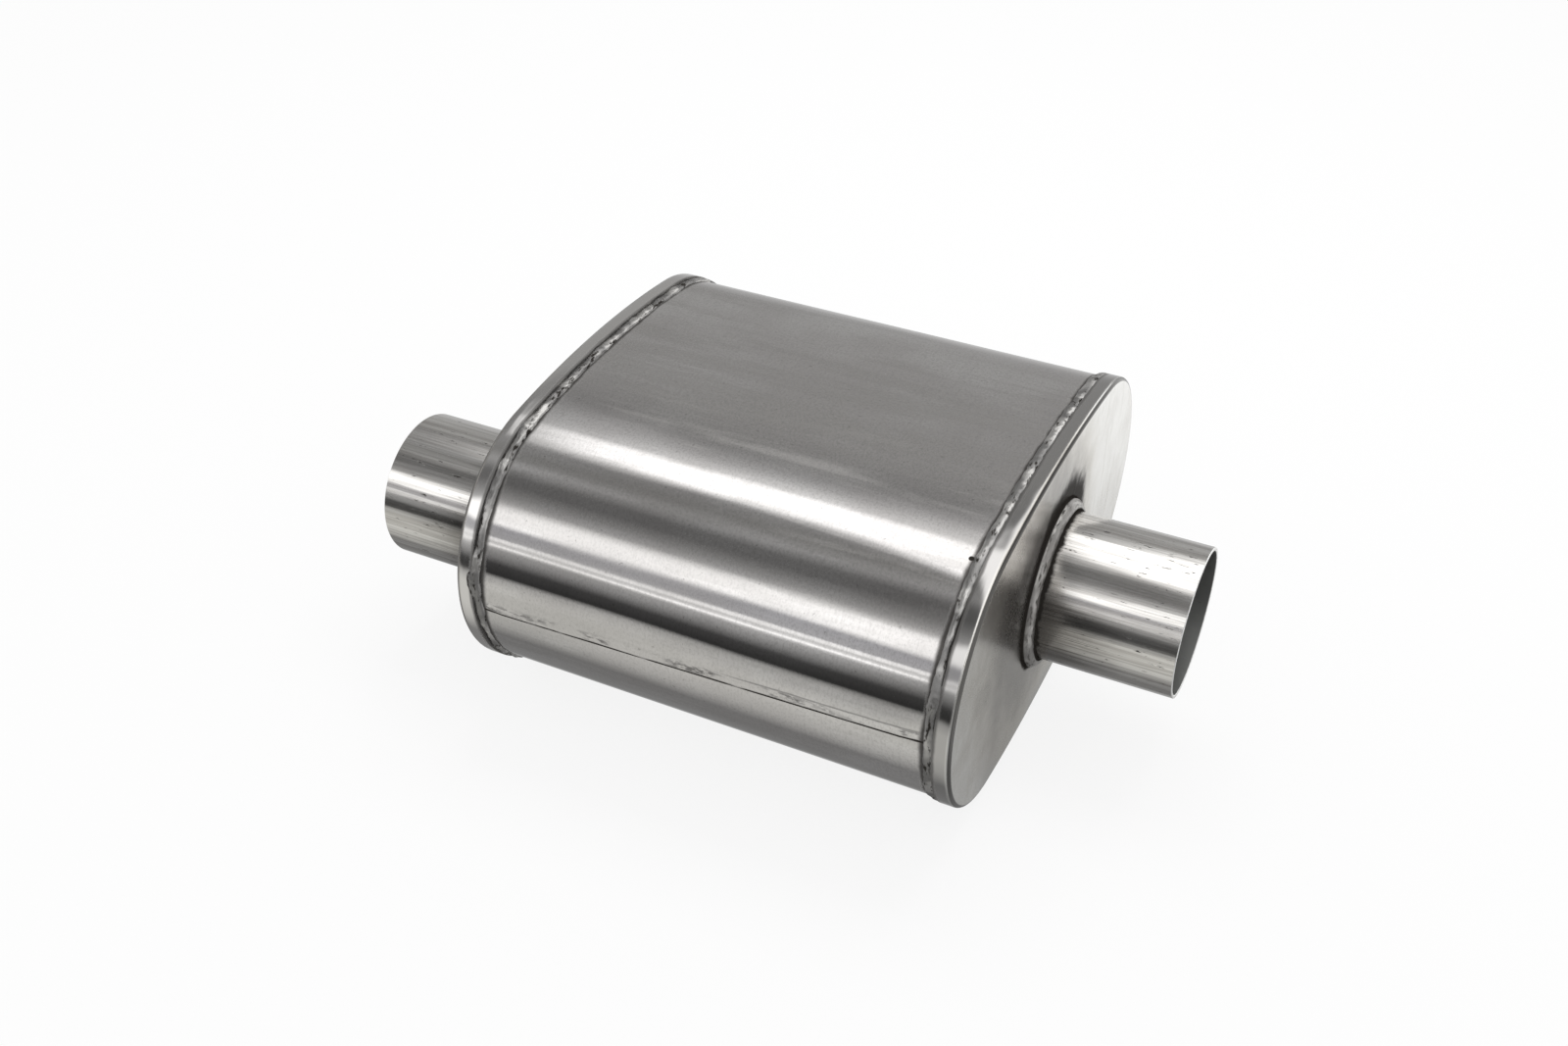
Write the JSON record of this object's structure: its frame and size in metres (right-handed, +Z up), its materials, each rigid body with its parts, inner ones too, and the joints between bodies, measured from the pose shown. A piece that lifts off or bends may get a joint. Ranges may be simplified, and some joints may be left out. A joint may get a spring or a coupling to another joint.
{
  "type": "muffler",
  "caption": "Oval exhaust silencer with flat welded end caps, an offset inlet stub and a central outlet stub.",
  "frame": {"origin": "middle of the overall box, on the axis of the outlet pipe and of the casing", "axes": "+X from the inlet to the outlet, +Y away from the side that the inlet is offset to, +Z up"},
  "size_m": [0.335, 0.2318, 0.1282],
  "materials": {
    "shell_steel": "satin, fine grain round the body",
    "cap_steel": "satin, with heat tint near the pipe",
    "pipe_steel": "mill finish with lengthwise streaks",
    "weld_steel": "rough weld metal",
    "pipe_weld_steel": "dull weld metal with soot",
    "inner_steel": "plain rolled sheet",
    "wool": "matted fine steel wool",
    "fibre": "pressed glass fibre"
  },
  "bodies": {
    "root": {"shell": "shell_steel", "inlet_cap": "cap_steel", "outlet_cap": "cap_steel", "inlet_cap_weld": "weld_steel", "outlet_cap_weld": "weld_steel", "inlet_pipe": "pipe_steel", "outlet_pipe": "pipe_steel", "inlet_pipe_weld": "pipe_weld_steel", "outlet_pipe_weld": "pipe_weld_steel", "inlet_baffle": "inner_steel", "outlet_baffle": "inner_steel", "inlet_baffle_tacks": "weld_steel", "outlet_baffle_tacks": "weld_steel", "core_tube": "inner_steel", "inlet_core_end": "inner_steel", "outlet_core_end": "inner_steel", "inlet_mitre_weld": "weld_steel", "outlet_mitre_weld": "weld_steel", "inlet_core_tacks": "weld_steel", "outlet_core_tacks": "weld_steel", "wool_sleeve": "wool", "near_packing": "fibre", "far_packing": "fibre"}
  },
  "joints": []
}
